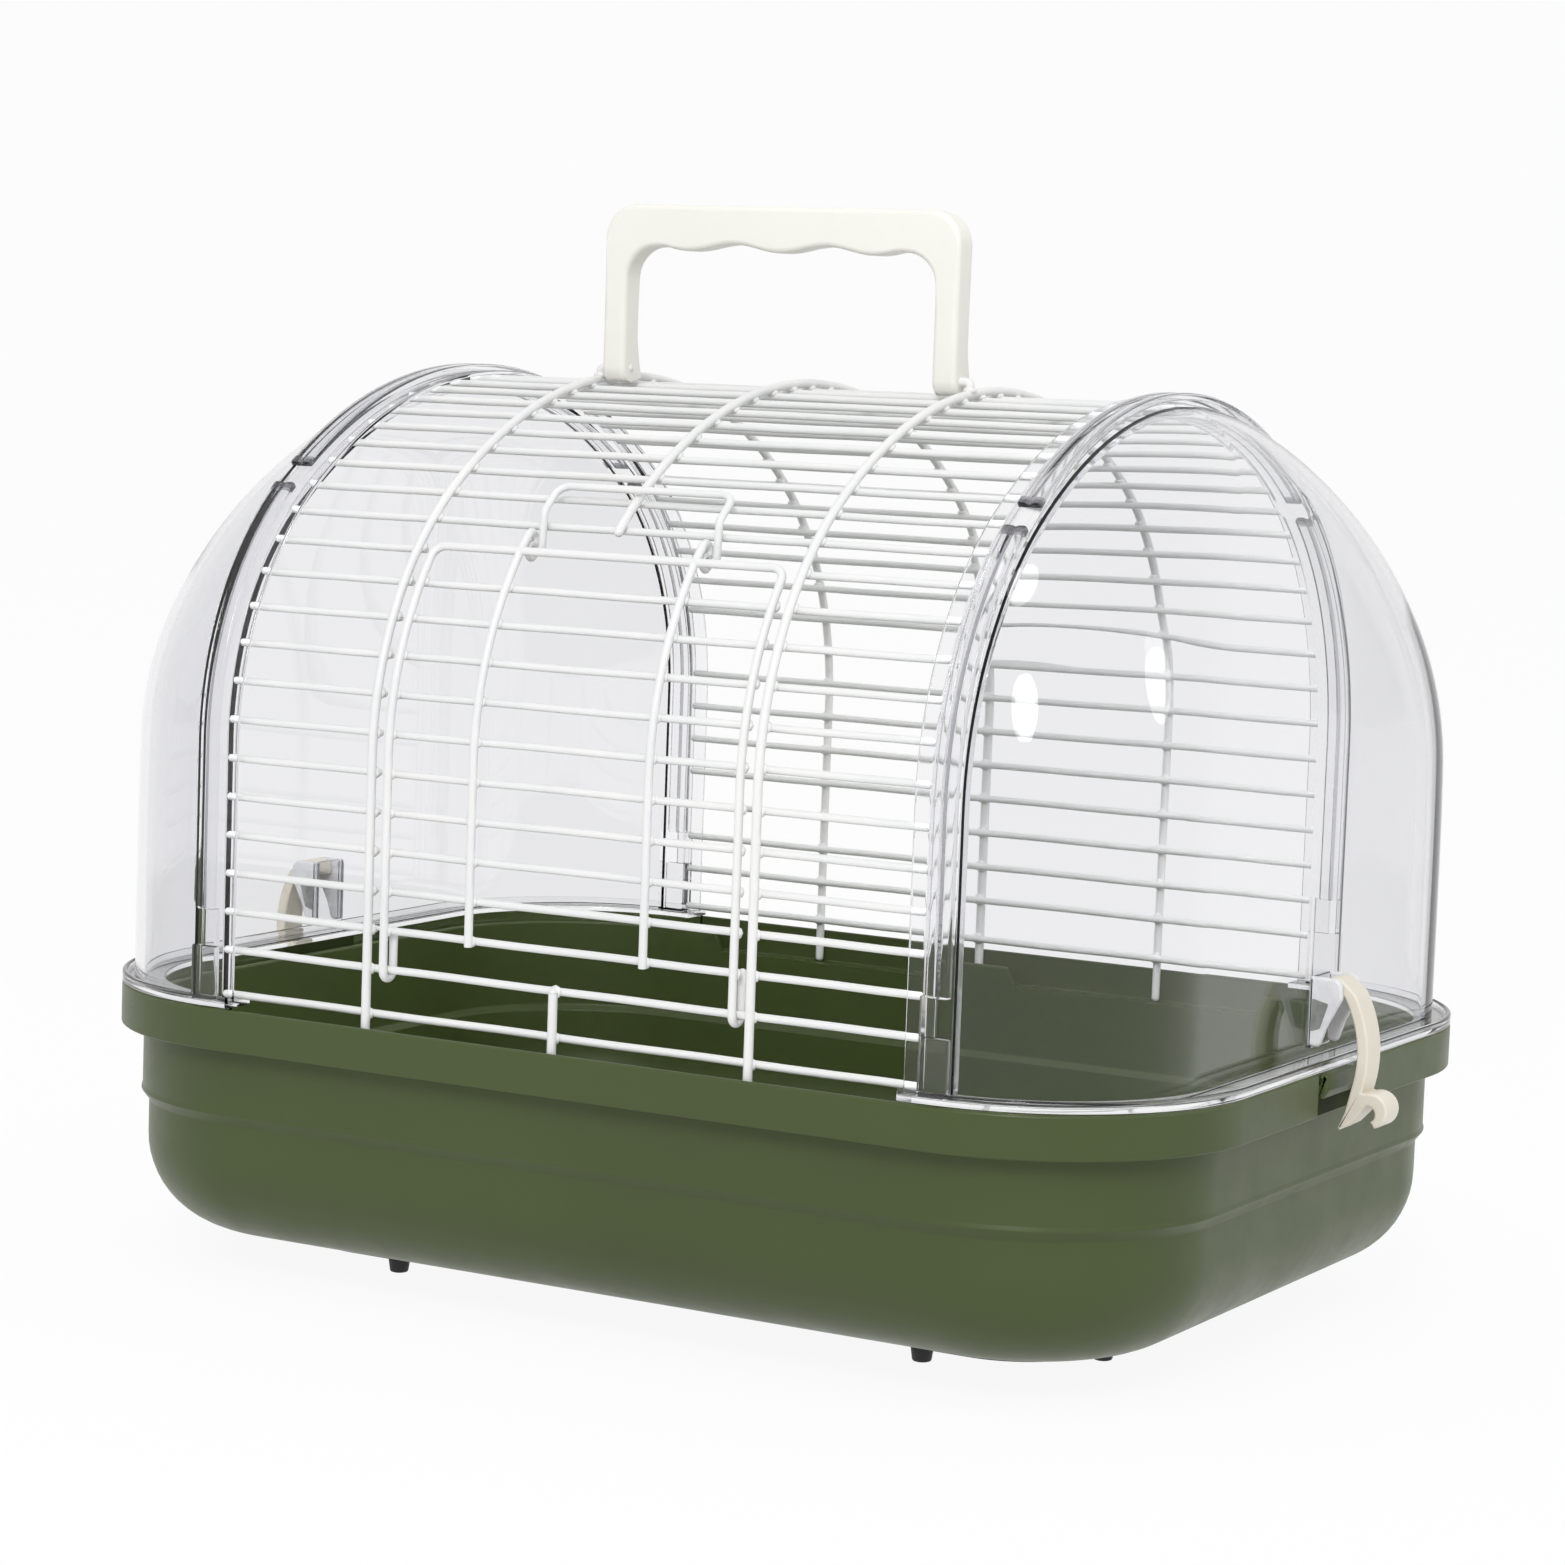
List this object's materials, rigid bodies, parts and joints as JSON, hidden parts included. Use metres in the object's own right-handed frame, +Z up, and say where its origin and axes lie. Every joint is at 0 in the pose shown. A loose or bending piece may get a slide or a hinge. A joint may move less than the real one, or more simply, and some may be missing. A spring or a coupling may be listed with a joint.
{
  "type": "bird travel carrier",
  "caption": "Small bird carrier: moulded tray, wire vault between clear domed ends, hinged wire door with bail latch, folding carry handle and end clips.",
  "frame": {"origin": "centre of the bounding box on the plane that the peg feet stand on", "axes": "+X along the carrier's length, the door faces -Y, +Z up"},
  "size_m": [0.3528, 0.243, 0.2888],
  "materials": {
    "tray_green": "satin moulded plastic",
    "foot_black": "matt black rubber",
    "white_wire": "white powder-coated steel wire",
    "clear_plastic": "clear polished styrene",
    "cream_plastic": "satin cream plastic"
  },
  "bodies": {
    "tray": {"tray": "tray_green", "foot_strip_front_left": "foot_black", "foot_strip_front_right": "foot_black", "foot_strip_back_left": "foot_black", "foot_strip_back_right": "foot_black"},
    "top": {"hoop_left": "white_wire", "hoop_middle": "white_wire", "hoop_right": "white_wire", "hoop_stub": "white_wire", "base_wires_front": "white_wire", "side_wires_front_left": "white_wire", "side_wires_front_right": "white_wire", "shoulder_wires_front": "white_wire", "roof_wires": "white_wire", "shoulder_wires_back": "white_wire", "side_wires_back": "white_wire", "end_frame_left": "clear_plastic", "end_frame_right": "clear_plastic", "shell_left": "clear_plastic", "shell_right": "clear_plastic", "base_flange_left": "clear_plastic", "base_flange_right": "clear_plastic", "clamp_front_left": "clear_plastic", "clamp_top_left": "clear_plastic", "clamp_back_left": "clear_plastic", "clamp_front_right": "clear_plastic", "clamp_top_right": "clear_plastic", "clamp_back_right": "clear_plastic", "clip_bracket_left": "clear_plastic", "clip_bracket_right": "clear_plastic", "clip_pin_left": "cream_plastic", "clip_pin_right": "cream_plastic", "handle_pins": "white_wire"},
    "door": {"door_frame": "white_wire", "door_rails": "white_wire", "door_uprights": "white_wire"},
    "latch": {"door_latch": "white_wire"},
    "handle": {"handle": "cream_plastic"},
    "clip_left": {"clip_left": "cream_plastic"},
    "clip_right": {"clip_right": "cream_plastic"}
  },
  "joints": [
    {"name": "top_lift", "type": "slide", "parent": "tray", "child": "top", "axis": [0, 0, 1], "range_m": [0, 0.25]},
    {"name": "door_hinge", "type": "hinge", "parent": "top", "child": "door", "pos_m": [0, -0.1162, 0.0911], "axis": [1, 0, 0], "range_deg": [0, 140]},
    {"name": "latch_swing", "type": "hinge", "parent": "door", "child": "latch", "pos_m": [0.00155, -0.09479, 0.19851], "axis": [1, 0, 0], "range_deg": [0, 55]},
    {"name": "handle_fold", "type": "hinge", "parent": "top", "child": "handle", "pos_m": [0, -0.016, 0.24476], "axis": [1, 0, 0], "range_deg": [0, 80]},
    {"name": "clip_left_swing", "type": "hinge", "parent": "top", "child": "clip_left", "pos_m": [-0.1608, 0, 0.096], "axis": [0, 1, 0], "range_deg": [0, 110]},
    {"name": "clip_right_swing", "type": "hinge", "parent": "top", "child": "clip_right", "pos_m": [0.1608, 0, 0.096], "axis": [0, -1, 0], "range_deg": [0, 110]}
  ]
}
